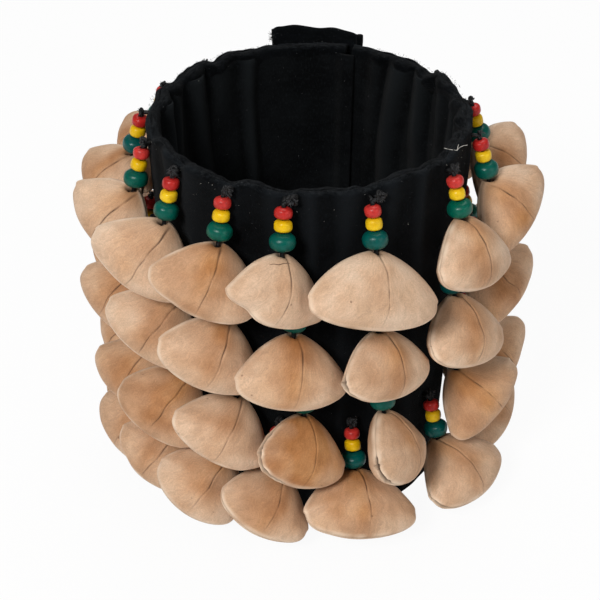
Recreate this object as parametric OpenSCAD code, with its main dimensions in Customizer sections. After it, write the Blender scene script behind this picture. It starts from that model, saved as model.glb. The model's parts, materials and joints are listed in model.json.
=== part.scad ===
// Foot rattle: a gathered cloth cuff, closed at the back, that carries four rows of strands.
// Each strand is a knotted cord with three wooden beads and a hollow nut shell that swings on it.
// Millimetres. +Z is up, the cuff stands on Z = 0 and its axis is the Z axis. The front faces -Y.
// Bearings are degrees from the front, growing towards +X.

/* [Cuff] */
// Height of the cloth cuff
cuff_h = 130; // [129:1:134]
// Outer radius at the rim
cuff_r_top = 52.5; // [52:0.5:56]
// Outer radius at the hem that it stands on
cuff_r_bottom = 44.5; // [44:0.5:48]
// Thickness of the outer cloth and of the lining
cloth_t = 1.4; // [1:0.1:1.8]
// Thickness of the felt between them
felt_t = 1.2; // [0.8:0.1:1.6]
// Height of the two hems
hem_h = 3; // [3:0.5:4]
// Number of gathers round the cuff
gather_count = 24; // [16:1:28]
// Depth of the outer cloth's gathers
gather_out = 0.8; // [0.2:0.1:0.9]
// Depth of the lining's folds
gather_in = 2.2; // [0.2:0.1:3]

/* [Closure] */
// Bearing of the flap's sewn end
flap_bearing = 161.5; // [158:0.5:163]
// Angle that the flap spans round the cuff
flap_span = 32; // [28:1:36]
// Thickness of the flap
flap_t = 1.8; // [1.4:0.1:2.4]
// How far the flap stands above the rim
flap_rise = 4; // [0:0.5:6]
// Thickness of the hook tape and of the loop tape
tape_t = 0.8; // [0.6:0.1:1]
// Width of the slit between the strip's two ends, in degrees
slit_span = 3; // [2:0.5:4]

/* [Strands] */
// Lean of each cord from straight down
strand_lean = 14; // [14:0.5:16]
// Height of the tie knots in each row, from the top row down
row_z = [127, 97, 64, 40]; // [39:0.5:127]
// Diameter of the cords
cord_d = 1.4; // [1:0.1:1.6]
// Diameter of the red and yellow beads
small_bead_d = 5.4; // [5:0.1:5.8]
// Height of the red and yellow beads
small_bead_h = 3.9; // [3.4:0.1:3.9]
// Diameter of the green beads
large_bead_d = 8.2; // [7.4:0.1:8.6]
// Height of the green beads
large_bead_h = 5.8; // [5:0.1:6]

/* [Nut shells] */
// Height of the shells in each row
shell_h = [23, 23, 23.5, 24]; // [21:0.5:24]
// Lean of the resting shells in each row from straight down
shell_lean = [37, 38, 44, 58]; // [35:1:60]
// Outward swing of the shells in each row
shell_swing = [18, 16, 8, 4]; // [2:1:18]
// Thickness of a shell from face to face
shell_t = 17; // [15:0.5:17]
// Thickness of its wood at the middle of a face
shell_wall = 1.5; // [1:0.1:2]
// Width of the split at its tip
split_w = 1.4; // [0.8:0.1:2]
// Stretch of the left lobe of the widest shell
long_lobe = 1.15; // [1:0.05:1.25]

/* [Hidden] */
$fn = 48;
// Bearings of the strands, a line for each row from the top, read from the photographed beads
bearing = [
    [-140, -118, -96, -73, -50, -28, -8, 20, 54, 81, 104, 127],
    [-139, -117, -95, -72, -49, -28, -5, 22, 55, 82, 105, 128],
    [-139, -116, -93, -70, -47, -25, -2, 26, 63, 86, 109, 131],
    [-140, -118, -96, -74, -53, -33, -12, 16, 55, 88, 111, 133],
];
// How far each tie knot is above its row's height: the rows rise towards the left
knot_rise = [
    [0, 0, 0, 0, 0, 1, 1, 0, -1, -1, 0, 0],
    [-1, -1, 0, 2, 3, 3, 1, 0, 0, -1, -1, -1],
    [1, 1, 3, 5, 7, 6, 2, -1, -1, 0, 1, 1],
    [0, 0, 2, 4, 6, 5, 2, 1, -2, -1, 0, 0],
];
// Width of each shell
shell_w = [
    [36, 36, 35, 35, 36, 37, 37, 44, 36, 36, 37, 36],
    [36, 36, 35, 35, 36, 37, 40, 38, 36, 36, 37, 36],
    [35, 35, 34, 33, 34, 36, 36, 36, 34, 35, 36, 35],
    [34, 34, 33, 32, 32, 33, 35, 41, 36, 34, 35, 34],
];
// Lean of each shell beyond its row's
more_lean = [
    [0, 1, 2, 4, 5, 4, 0, -1, -2, -1, 0, 0],
    [0, 0, 0, 2, 4, 3, -1, -2, -2, -1, 0, 0],
    [0, 0, 0, 0, 1, 1, 0, 0, 0, 0, 0, 0],
    [0, 0, -2, -4, -4, -2, 0, 2, 2, 2, 2, 2],
];
// Turn of each shell about its cord: the shells lie like shingles, with the tips away from the
// widest ones turned out
shell_yaw = [
    [42, 42, 42, 42, 42, 42, 44, 14, 2, -38, -42, -42],
    [42, 42, 42, 42, 42, 42, 32, 22, 0, -38, -42, -42],
    [42, 42, 42, 42, 42, 42, 40, 44, -38, -42, -42, -42],
    [42, 42, 42, 42, 42, 42, 40, 8, -4, -38, -42, -42],
];
// Sideways hang of each shell, growing towards its left tip
shell_roll = [
    [0, 0, 0, 0, 3, 6, 8, 8, 12, -8, -5, -4],
    [0, 0, 3, 0, 2, 4, 4, 0, 16, -8, -6, -4],
    [0, 0, 0, 0, 2, 4, 4, -4, -12, -8, -6, -4],
    [0, 0, 0, 0, 2, 2, 4, 10, 8, -2, -2, 0],
];
rows = len(bearing);
cols = len(bearing[0]);

// Clearance between pieces that move against each other, and between layers that are sewn together
move_gap = 0.3;
sewn_gap = 0.05;

// Places along a cord, from its tie knot
knot_r = 1.8;
knot_out = 2;
knot_up = 0.6;
bead_bore_d = cord_d + 0.2;
red_at = 3.2;
yellow_at = red_at + small_bead_h + 0.1;
green_at = yellow_at + small_bead_h / 2 + large_bead_h / 2 + 0.1;
apex_at = green_at + large_bead_h / 2 + 1.2;
hinge_at = apex_at + 3;

// Stopper knot at the cord's end, its socket in the shell and the slot that the cord swings in
stopper_d = 1.8;
stopper_l = 3.6;
socket_d = stopper_d + 0.8;
socket_l = stopper_l + 1;
slot_w = cord_d + 0.8;

// Outline of a shell before it is scaled: its width, its height, the depth of its middle and how far
// its two tips are above that
outline_w = 36.8;
outline_h = 24;
outline_mid = 13.4;
outline_tip = -1.5;

// Offsets of the layers from the cuff's outer cone
felt_out = -cloth_t - sewn_gap;
felt_in = -cloth_t - felt_t + sewn_gap;
lining_out = -cloth_t - felt_t;
lining_in = lining_out - cloth_t;
flap_in = 2 * tape_t + move_gap;
roll_r = 1.2;
roll_out = move_gap + roll_r;

// The strip runs once round, from one side of the slit to the other
strip_end = flap_bearing + 1;
strip_start = strip_end + slit_span - 360;
strip_steps = 144;
cone_lean = atan((cuff_r_top - cuff_r_bottom) / cuff_h);

function shell_name(row, col) = str("row", row + 1, "_shell_", col < 9 ? "0" : "", col + 1);

// Even spread of small differences from -1 to 1
function vary(n) = sin(n * 137.5 + 40);
// Radius of the cuff's outer cone
function cuff_r(z) = cuff_r_bottom + (cuff_r_top - cuff_r_bottom) * z / cuff_h;
// Smooth step from 0 to 1 between two limits
function ease(low, high, x) =
    let (t = min(1, max(0, (x - low) / (high - low))))
    t * t * (3 - 2 * t);
// Share of the full gather at a bearing: none behind the closure
function gather(b) =
    let (from_flap = abs((b - flap_bearing - flap_span / 2 + 900) % 360 - 180))
    let (fold = 0.5 - 0.5 * cos(gather_count * b + 50 * sin(3 * b)))
    fold * (0.7 + 0.3 * sin(7 * b)) * ease(24, 36, from_flap);
function knot_z(row, col) = row_z[row] + knot_rise[row][col];

// Conical wall between two offsets from the cuff's outer cone
module cone_wall(off_in, off_out, z0, z1, from, to) {
    section = [
        [cuff_r(z0) + off_in, z0],
        [cuff_r(z0) + off_out, z0],
        [cuff_r(z1) + off_out, z1],
        [cuff_r(z1) + off_in, z1],
    ];
    rotate([0, 0, from - 90])
        rotate_extrude(angle = to - from)
            polygon(section);
}

// Cloth wall round the strip, plain on one side and gathered on the other.
// The gathers are deepest at the two edges and ease off between them.
module gathered_wall(plain, folded, depth, z0, z1) {
    ease_off = [1, 0.7, 0.6, 0.75, 1];
    levels = len(ease_off);
    stride = levels + 2;
    turn = (strip_end - strip_start) / strip_steps;
    function height(j) = z0 + (z1 - z0) * j / (levels - 1);
    function place(b, off, z) = let (r = cuff_r(z) + off) [r * sin(b), -r * cos(b), z];
    points = [
        for (k = [0 : strip_steps])
            let (b = strip_start + k * turn)
            each concat(
                [for (j = [0 : levels - 1]) place(b, folded + depth * ease_off[j] * gather(b), height(j))],
                [place(b, plain, z0), place(b, plain, z1)]
            )
    ];
    low = levels;
    high = levels + 1;
    last = strip_steps * stride;
    faces = [
        for (k = [0 : strip_steps - 1])
            let (p = k * stride, q = p + stride)
            each concat(
                [for (j = [0 : levels - 2]) [p + j, p + j + 1, q + j + 1]],
                [for (j = [0 : levels - 2]) [p + j, q + j + 1, q + j]],
                [[q + low, q + high, p + high], [q + low, p + high, p + low]],
                [[p + levels - 1, p + high, q + high], [p + levels - 1, q + high, q + levels - 1]],
                [[p, q, q + low], [p, q + low, p + low]]
            ),
        concat([low, high], [for (j = [levels - 1 : -1 : 0]) j]),
        concat([for (j = [0 : levels - 1]) last + j], [last + high, last + low])
    ];
    outside = folded > plain;
    polyhedron(points, outside ? faces : [for (f = faces) [for (i = [len(f) - 1 : -1 : 0]) f[i]]]);
}

// Frame of a strand: the tie knot at the origin and the cord along -Z, with +X outwards
module at_strand(row, col) {
    z = knot_z(row, col);
    rotate([0, 0, bearing[row][col] - 90])
        translate([cuff_r(z) + knot_out, 0, z])
            rotate([0, -strand_lean, 0])
                children();
}

module at_every_strand() {
    for (row = [0 : rows - 1], col = [0 : cols - 1])
        at_strand(row, col) children();
}

// Bead with a rounded wall, bored along its axis
module bead(d, h) {
    rotate_extrude()
        intersection() {
            translate([d / 2 - h / 2, 0]) circle(d = h);
            translate([bead_bore_d / 2, -h / 2]) square([d, h]);
        }
}

// Point of a shell's outline from the middle of its face: a parabola from tip to tip over the apex,
// and half an ellipse below
function outline(a) =
    let (up = sin(a), high = outline_mid - outline_tip)
    [outline_w / 2 * cos(a), outline_tip + (up > 0 ? high * up * up : (outline_h - high) * up)];

// Closed nut with its apex at the origin: two domed faces, +X and -X, that meet along a keel.
// The rings step from the middle of a face out to the keel, grow scales the outline, and lobe
// stretches its left half.
module nut(w, h, t, grow, sides, rings, lobe) {
    shares = concat(rings, [1], [for (i = [len(rings) - 1 : -1 : 0]) rings[i]]);
    levels = len(shares);
    function dome(share) = pow(1 - share * share, 0.72);
    function point(j, k) =
        let (p = outline(360 * k / sides) * grow * shares[j])
        let (side = j < len(rings) ? 1 : -1, x = shares[j] < 1 ? side * t / 2 * dome(shares[j]) : 0)
        [x, p[0] * (p[0] < 0 ? lobe : 1) * w / outline_w, (p[1] - outline_mid) * h / outline_h];
    middle = -outline_mid * h / outline_h;
    points = concat(
        [[t / 2, 0, middle], [-t / 2, 0, middle]],
        [for (j = [0 : levels - 1], k = [0 : sides - 1]) point(j, k)]
    );
    function at(j, k) = 2 + j * sides + k % sides;
    faces = concat(
        [for (k = [0 : sides - 1]) [0, at(0, k + 1), at(0, k)]],
        [for (k = [0 : sides - 1]) [1, at(levels - 1, k), at(levels - 1, k + 1)]],
        [for (j = [0 : levels - 2], k = [0 : sides - 1]) [at(j, k), at(j, k + 1), at(j + 1, k + 1)]],
        [for (j = [0 : levels - 2], k = [0 : sides - 1]) [at(j, k), at(j + 1, k + 1), at(j + 1, k)]]
    );
    polyhedron(points, faces);
}

// Space that the cord sweeps as the shell swings out
module cord_slot(swing) {
    reach = 9;
    half = cord_d / 2 + 0.4;
    side = [half * cos(swing), -half * sin(swing)];
    sweep = [
        [-half, 0],
        [-half, reach],
        [reach * sin(swing), reach * cos(swing)] + side,
        side,
    ];
    rotate([90, 0, 0])
        linear_extrude(height = slot_w, center = true)
            polygon(sweep);
}

// Hollow nut shell, split at the tip that is turned out, with the socket for its cord's stopper knot
module shell(row, col) {
    n = cols * row + col;
    w = shell_w[row][col];
    h = shell_h[row] * (1 + 0.04 * vary(n + 9));
    t = shell_t * (1 + 0.04 * vary(n + 4));
    lean = shell_lean[row] + more_lean[row][col];
    yaw = shell_yaw[row][col] + 2 * vary(n + 2);
    roll = shell_roll[row][col] + 5 * vary(2 * n + 5);
    lobe = w > 42 ? long_lobe : 1;
    split_y = yaw < -10 ? w / 2 - 2 : 2 - lobe * w / 2;
    color("tan")
        at_strand(row, col)
            translate([0, 0, -hinge_at])
                difference() {
                    rotate([0, strand_lean - lean, 0])
                        rotate([0, 0, yaw])
                            rotate([-roll, 0, 0])
                                translate([0, 0, hinge_at - apex_at])
                                    difference() {
                                        nut(w, h, t, 1, 20, [0.5, 0.85], lobe);
                                        nut(w, h, t - 2 * shell_wall, 0.84, 12, [0.6], lobe);
                                        translate([0, split_y, -0.66 * h])
                                            cube([split_w, 9, 8], center = true);
                                    }
                    rotate([90, 0, 0])
                        cylinder(d = socket_d, h = socket_l, center = true);
                    cord_slot(shell_swing[row]);
                }
}

module outer_cloth() {
    color("black")
        gathered_wall(-cloth_t, 0, -gather_out, hem_h, cuff_h - hem_h);
}

module interlining() {
    color("dimgray")
        cone_wall(felt_in, felt_out, hem_h, cuff_h - hem_h, strip_start, strip_end);
}

module lining_cloth() {
    color("black")
        gathered_wall(lining_out, lining_in, -gather_in, hem_h, cuff_h - hem_h);
}

// Rolled edge over the three layers at the rim
module top_hem() {
    width = 0.6 - lining_in;
    middle = cuff_r(cuff_h) - width / 2;
    low = cuff_h - hem_h;
    color("black")
        rotate([0, 0, strip_start - 90])
            rotate_extrude(angle = strip_end - strip_start)
                intersection() {
                    union() {
                        translate([middle, cuff_h - width / 2]) circle(d = width);
                        translate([middle - width / 2, low]) square([width, hem_h - width / 2]);
                    }
                    translate([middle - width, low]) square([2 * width, hem_h]);
                }
}

// Turned edge that the cuff stands on
module bottom_hem() {
    color("black")
        cone_wall(lining_in - 0.6, 0.5, 0, hem_h, strip_start, strip_end);
}

// Overlapping end of the strip, with the rolled fold that it turns on
module closure_flap() {
    low = 4;
    high = cuff_h + flap_rise;
    color("black")
        union() {
            cone_wall(flap_in, flap_in + flap_t, low, high, flap_bearing, flap_bearing + flap_span);
            rotate([0, 0, flap_bearing - 90])
                translate([cuff_r(low) + roll_out, 0, low])
                    rotate([0, cone_lean, 0])
                        cylinder(r = roll_r, h = (high - low) / cos(cone_lean));
        }
}

module hook_tape() {
    color("#1a1a1a")
        cone_wall(flap_in - tape_t, flap_in, 12, cuff_h - 9, flap_bearing + 6, flap_bearing + flap_span - 2);
}

module loop_tape() {
    color("#222222")
        cone_wall(0, tape_t, 12, cuff_h - 9, flap_bearing + 6, flap_bearing + flap_span + 2);
}

// Tie knot on the cloth, cord through the beads, and stopper knot inside the shell
module cords() {
    color("black")
        at_every_strand()
            union() {
                translate([0, 0, knot_up]) sphere(r = knot_r);
                rotate([0, strand_lean - 90, 0]) cylinder(d = cord_d, h = knot_out + 1);
                translate([0, 0, -hinge_at]) cylinder(d = cord_d, h = hinge_at);
                translate([0, 0, -hinge_at])
                    rotate([90, 0, 0])
                        cylinder(d = stopper_d, h = stopper_l, center = true);
            }
}

module red_beads() {
    color("firebrick")
        at_every_strand()
            translate([0, 0, -red_at]) bead(small_bead_d, small_bead_h);
}

module yellow_beads() {
    color("gold")
        at_every_strand()
            translate([0, 0, -yellow_at]) bead(small_bead_d, small_bead_h);
}

module green_beads() {
    color("seagreen")
        at_every_strand()
            translate([0, 0, -green_at]) bead(large_bead_d, large_bead_h);
}

outer_cloth();
interlining();
lining_cloth();
top_hem();
bottom_hem();
closure_flap();
hook_tape();
loop_tape();
cords();
red_beads();
yellow_beads();
green_beads();
for (row = [0 : rows - 1], col = [0 : cols - 1])
    shell(row, col);
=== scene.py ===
"""Looks of the foot rattle: a gathered black cotton cuff, hung with beaded cords and hollow nut shells."""
import json
import math

import bpy
import numpy as np
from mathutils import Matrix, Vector

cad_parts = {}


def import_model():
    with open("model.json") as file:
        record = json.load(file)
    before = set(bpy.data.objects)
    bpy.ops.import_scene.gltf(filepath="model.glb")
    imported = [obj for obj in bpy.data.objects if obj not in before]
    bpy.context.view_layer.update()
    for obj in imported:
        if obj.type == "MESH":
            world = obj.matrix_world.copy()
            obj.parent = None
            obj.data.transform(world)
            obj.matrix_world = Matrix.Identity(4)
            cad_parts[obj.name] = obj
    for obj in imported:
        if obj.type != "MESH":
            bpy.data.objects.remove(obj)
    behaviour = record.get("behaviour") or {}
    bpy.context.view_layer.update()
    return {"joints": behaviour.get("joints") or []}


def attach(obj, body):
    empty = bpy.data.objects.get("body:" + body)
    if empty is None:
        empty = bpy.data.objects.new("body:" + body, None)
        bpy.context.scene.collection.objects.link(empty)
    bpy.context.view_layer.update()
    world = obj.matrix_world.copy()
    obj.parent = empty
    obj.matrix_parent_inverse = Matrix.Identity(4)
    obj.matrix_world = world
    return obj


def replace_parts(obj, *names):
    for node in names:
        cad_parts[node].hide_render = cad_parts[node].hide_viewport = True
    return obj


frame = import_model()

# Sizes are in millimetres and angles in degrees, unless a name says otherwise.
MM = 0.001

# The cuff, as its solids have it
CUFF_H = 130
RIM_R = 52.5
HEM_R = 44.5
HEM_H = 3
FELT_OUT, FELT_IN = -1.45, -2.55
LINING_IN = -4.0
CLOTH_T = 0.6
FLAP_FROM, FLAP_SPAN = 161.5, 32
FLAP_TO, FLAP_MID = FLAP_FROM + FLAP_SPAN, FLAP_FROM + FLAP_SPAN / 2
FLAP_LOW, FLAP_HIGH = 4, 134
FLAP_IN, FLAP_T = 1.9, 1.8
ROLL_OUT, ROLL_R = 1.5, 1.2
TAPE_T = 0.8
TAPE_LOW, TAPE_HIGH = 12, 121
STRIP_FROM, STRIP_TO = -194.5, 162.5
LAP = 4
GATHERS = 24
# Seed and sharpness of the gathers in each cloth
OUTER_FOLDS, LINING_FOLDS = (31, 0.8), (41, 0.55)
# Degrees round the cuff in one millimetre along its cloth
DEG_PER_MM = 180 / math.pi / 50
WEAVE_PITCH = 0.55

# A strand, measured along its cord from the tie knot
STRAND_LEAN = 14
RED_AT, YELLOW_AT, GREEN_AT = 3.2, 7.2, 12.15
APEX_AT, HINGE_AT = 16.25, 19.25
CORD_R = 0.7
SMALL_BEAD = (5.4, 3.9)
LARGE_BEAD = (8.2, 5.8)

# The nut shells: one line for each row from the top, as their solids have them
SHELL_H = [23, 23, 23.5, 24]
SHELL_T = 17
LONG_LOBE = 1.15
SHELL_LEAN = [37, 38, 44, 58]
SHELL_SWING = [18, 16, 8, 4]
SHELL_W = [
    [36, 36, 35, 35, 36, 37, 37, 44, 36, 36, 37, 36],
    [36, 36, 35, 35, 36, 37, 40, 38, 36, 36, 37, 36],
    [35, 35, 34, 33, 34, 36, 36, 36, 34, 35, 36, 35],
    [34, 34, 33, 32, 32, 33, 35, 41, 36, 34, 35, 34],
]
MORE_LEAN = [
    [0, 1, 2, 4, 5, 4, 0, -1, -2, -1, 0, 0],
    [0, 0, 0, 2, 4, 3, -1, -2, -2, -1, 0, 0],
    [0, 0, 0, 0, 1, 1, 0, 0, 0, 0, 0, 0],
    [0, 0, -2, -4, -4, -2, 0, 2, 2, 2, 2, 2],
]
SHELL_YAW = [
    [42, 42, 42, 42, 42, 42, 44, 14, 2, -38, -42, -42],
    [42, 42, 42, 42, 42, 42, 32, 22, 0, -38, -42, -42],
    [42, 42, 42, 42, 42, 42, 40, 44, -38, -42, -42, -42],
    [42, 42, 42, 42, 42, 42, 40, 8, -4, -38, -42, -42],
]
SHELL_ROLL = [
    [0, 0, 0, 0, 3, 6, 8, 8, 12, -8, -5, -4],
    [0, 0, 3, 0, 2, 4, 4, 0, 16, -8, -6, -4],
    [0, 0, 0, 0, 2, 4, 4, -4, -12, -8, -6, -4],
    [0, 0, 0, 0, 2, 2, 4, 10, 8, -2, -2, 0],
]
# How brown each shell is, from 0 for the palest
SHELL_TONE = [
    [0.35, 0.5, 0.4, 0.3, 0.3, 0.6, 0.1, 0.1, 0.4, 0.6, 0.5, 0.4],
    [0.5, 0.4, 0.6, 0.5, 0.4, 0.4, 0.6, 0.45, 0.45, 0.6, 0.5, 0.4],
    [0.4, 0.6, 0.4, 0.6, 0.8, 0.3, 1.0, 0.4, 0.7, 0.6, 0.5, 0.5],
    [0.6, 0.5, 0.6, 0.4, 0.5, 0.5, 0.6, 0.65, 0.4, 0.5, 0.6, 0.5],
]
# How far the split at each shell's tip stands open
SHELL_GAPE = [
    [0.8, 0.6, 1.0, 0.8, 0.8, 0.6, 0.3, 0.3, 0.8, 1.4, 1.6, 1.2],
    [1.0, 0.8, 1.2, 0.6, 0.6, 0.6, 0.4, 2.4, 0.8, 1.6, 1.4, 1.0],
    [1.2, 0.8, 1.0, 0.8, 0.8, 0.8, 2.2, 2.0, 2.0, 1.6, 1.2, 1.0],
    [0.8, 1.2, 1.0, 0.8, 0.8, 0.8, 0.8, 0.6, 2.0, 1.4, 1.0, 0.8],
]
# How far aside the knots of the top row's front strands are tied, by column
KNOT_ASIDE = {4: 0.8, 5: 1.5, 6: 2.6, 7: 2.6}
ROWS, COLS = len(SHELL_W), len(SHELL_W[0])
# A shell's outline before it is scaled: its size, the depth of its middle and the height of its tips
OUTLINE_W, OUTLINE_H, OUTLINE_MID, OUTLINE_TIP = 36.8, 24, 13.4, -1.5
OUTLINE_POINTS = 1440
APEX_LIFT = 0.7

# The stage and the photograph's camera
AIM_M = (0, 0, 0.07)
FLOOR_HALF_M, FLOOR_Z_M = 3.0, -0.0002
CAMERA_FAR_M, CAMERA_ELEVATION = 0.600, 32.5
FOCAL_PX, IMAGE_PX = 1780, 600
AIM_PX = (309.5, 270.5)


# Small helpers

def sind(a):
    return np.sin(np.radians(a))


def cosd(a):
    return np.cos(np.radians(a))


def vary(n):
    """Even spread of small differences from -1 to 1, the same as in the solids."""
    return float(sind(n * 137.5 + 40))


def cuff_r(z):
    return HEM_R + (RIM_R - HEM_R) * np.asarray(z, float) / CUFF_H


def ease(low, high, x):
    t = np.clip((x - low) / (high - low), 0, 1)
    return t * t * (3 - 2 * t)


def bump(x, width):
    return np.exp(-(x / width) ** 2)


def lumps(points, size, seed, waves=7):
    """Smooth noise from about -1 to 1 over points, with lumps of about that size."""
    rng = np.random.default_rng(seed)
    points = np.asarray(points, float)
    ways = rng.normal(size=(waves, points.shape[-1]))
    ways /= np.linalg.norm(ways, axis=1, keepdims=True)
    ways *= (2 * math.pi / size) * rng.uniform(0.6, 1.4, (waves, 1))
    phases = rng.uniform(0, 2 * math.pi, waves)
    return np.sin(points @ ways.T + phases).sum(-1) / math.sqrt(waves)


def ripples(x, y, size, seed):
    """The same noise over two coordinates."""
    return lumps(np.stack([x, y], -1), size, seed)


def apart(b, bearing):
    """Degrees from a bearing, from -180 to 180."""
    return (b - bearing + 180) % 360 - 180


def place(bearing, off, z):
    """Points at an offset from the cuff's outer cone."""
    r = cuff_r(z) + off
    return np.stack([r * sind(bearing), -r * cosd(bearing), z + 0 * r], -1)


class Soup:
    """Vertices and faces gathered from many parts, with one vector and one colour for each vertex."""

    def __init__(self):
        self.points, self.faces, self.local, self.masks, self.count = [], [], [], [], 0

    def add(self, points, faces, local=None, masks=None):
        points = np.asarray(points, float).reshape(-1, 3)
        self.points.append(points)
        self.faces += [tuple(int(i) + self.count for i in f) for f in faces]
        self.local.append(points if local is None else np.asarray(local, float).reshape(-1, 3))
        empty = np.zeros((len(points), 4))
        self.masks.append(empty if masks is None else np.asarray(masks, float).reshape(-1, 4))
        self.count += len(points)

    def piece(self, name, material, slot, body):
        mesh = bpy.data.meshes.new(name)
        mesh.from_pydata((np.concatenate(self.points) * MM).tolist(), [], self.faces)
        local = mesh.attributes.new("local", "FLOAT_VECTOR", "POINT")
        local.data.foreach_set("vector", np.concatenate(self.local).astype(np.float32).ravel())
        masks = mesh.attributes.new("masks", "FLOAT_COLOR", "POINT")
        masks.data.foreach_set("color", np.concatenate(self.masks).astype(np.float32).ravel())
        mesh.polygons.foreach_set("use_smooth", [True] * len(mesh.polygons))
        mesh.update()
        mesh.validate()
        obj = bpy.data.objects.new(name, mesh)
        bpy.context.scene.collection.objects.link(obj)
        mesh.materials.append(material)
        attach(obj, body)
        return obj


def grid_faces(rows, cols, wrap_rows=False, wrap_cols=False):
    """Quads over a grid of points numbered row by row."""
    faces = []
    for i in range(rows if wrap_rows else rows - 1):
        for j in range(cols if wrap_cols else cols - 1):
            k, m = (i + 1) % rows, (j + 1) % cols
            faces.append((i * cols + j, k * cols + j, k * cols + m, i * cols + m))
    return faces


def add_ring(soup, section, local=None, masks=None):
    """Closed solid from sections: an array of sections by points, capped at both ends."""
    rows, cols = section.shape[:2]
    faces = grid_faces(rows, cols, wrap_cols=True)
    faces.append(tuple(range(cols)))
    faces.append(tuple((rows - 1) * cols + j for j in reversed(range(cols))))
    soup.add(section, faces, local, masks)


def add_tube(soup, path, radii, sides=8, masks=None):
    """Round tube along a path, closed flat at both ends."""
    path = np.asarray(path, float)
    radii = np.broadcast_to(np.asarray(radii, float), len(path))
    ahead = np.gradient(path, axis=0)
    ahead /= np.linalg.norm(ahead, axis=1, keepdims=True)
    side = np.cross(ahead[0], [0.31, 0.52, 0.79])
    section = []
    turn = np.arange(sides) * 2 * math.pi / sides
    for at, way, r in zip(path, ahead, radii):
        side = side - way * np.dot(side, way)
        side /= np.linalg.norm(side)
        other = np.cross(way, side)
        section.append(at + r * (np.cos(turn)[:, None] * side + np.sin(turn)[:, None] * other))
    section = np.array(section)
    mask = None if masks is None else np.tile(masks, (section.shape[0] * sides, 1))
    add_ring(soup, section, None, mask)


# Strands: the frame of each one comes from its shell's hinge

class Strand:
    """Where one strand is tied, which way it hangs and which shell is on it."""

    def __init__(self, row, col):
        self.row, self.col = row, col
        self.name = "row%d_shell_%02d" % (row + 1, col + 1)
        joint = next(j for j in frame["joints"] if j["child"] == self.name)
        self.hinge = np.array(joint["pos_m"]) / MM
        self.right = -np.array(joint["axis"])
        self.up = np.array([0.0, 0.0, 1.0])
        self.out = np.cross(self.right, self.up)
        self.down = self.out * sind(STRAND_LEAN) - self.up * cosd(STRAND_LEAN)
        self.knot = self.hinge - self.down * HINGE_AT
        self.bearing = math.degrees(math.atan2(self.out[0], -self.out[1]))
        self.index = COLS * row + col

    def at(self, along):
        return self.knot + self.down * along


strands = [Strand(row, col) for row in range(ROWS) for col in range(COLS)]


# Materials

def srgb(r, g, b):
    """Linear colour of an sRGB colour given from 0 to 255."""
    def one(c):
        c /= 255
        return c / 12.92 if c <= 0.04045 else ((c + 0.055) / 1.055) ** 2.4
    return (one(r), one(g), one(b), 1)


class Nodes:
    """A new material's nodes, made and joined by short calls."""

    def __init__(self, name, roughness=0.6, specular=0.4):
        self.material = bpy.data.materials.new(name)
        self.material.use_nodes = True
        self.tree = self.material.node_tree
        self.shader = self.tree.nodes["Principled BSDF"]
        self.shader.inputs["Roughness"].default_value = roughness
        self.shader.inputs["Specular IOR Level"].default_value = specular

    def make(self, kind, links=None, **values):
        node = self.tree.nodes.new("ShaderNode" + kind)
        for key, value in values.items():
            setattr(node, key, value)
        for key, value in (links or {}).items():
            self.put(node.inputs[key], value)
        return node

    def put(self, socket, value):
        if isinstance(value, bpy.types.NodeSocket):
            self.tree.links.new(value, socket)
        else:
            socket.default_value = value

    def local(self):
        return self.make("Attribute", attribute_name="local").outputs["Vector"]

    def mask(self, channel):
        colour = self.make("Attribute", attribute_name="masks").outputs["Color"]
        return self.make("SeparateColor", {"Color": colour}).outputs[channel]

    def scaled(self, vector, x, y, z):
        return self.make("Mapping", {"Vector": vector, "Scale": (x, y, z)}).outputs["Vector"]

    def noise(self, vector, scale, detail=3, roughness=0.55):
        links = {"Vector": vector, "Scale": scale, "Detail": detail, "Roughness": roughness}
        return self.make("TexNoise", links).outputs["Fac"]

    def math(self, operation, a, b=0.0, clamp=False):
        return self.make("Math", {0: a, 1: b}, operation=operation, use_clamp=clamp).outputs[0]

    def between(self, value, low, high, to_low=0.0, to_high=1.0):
        links = {"Value": value, "From Min": low, "From Max": high, "To Min": to_low, "To Max": to_high}
        return self.make("MapRange", links, clamp=True).outputs["Result"]

    def mix(self, factor, a, b, blend="MIX"):
        links = {"Factor": factor, "A": a, "B": b}
        return self.make("Mix", links, data_type="RGBA", blend_type=blend).outputs["Result"]

    def ramp(self, value, *stops):
        node = self.make("ValToRGB", {"Fac": value})
        points = node.color_ramp.elements
        while len(points) < len(stops):
            points.new(0.5)
        for point, (at, colour) in zip(points, stops):
            point.position = at
            point.color = colour
        return node.outputs["Color"]

    def finish(self, colour, roughness=None, height=None, distance=0.1 * MM, strength=1.0):
        self.put(self.shader.inputs["Base Color"], colour)
        if roughness is not None:
            self.put(self.shader.inputs["Roughness"], roughness)
        if height is not None:
            node = self.make("Bump", {"Height": height, "Distance": distance, "Strength": strength})
            self.put(self.shader.inputs["Normal"], node.outputs["Normal"])
        return self.material


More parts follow.
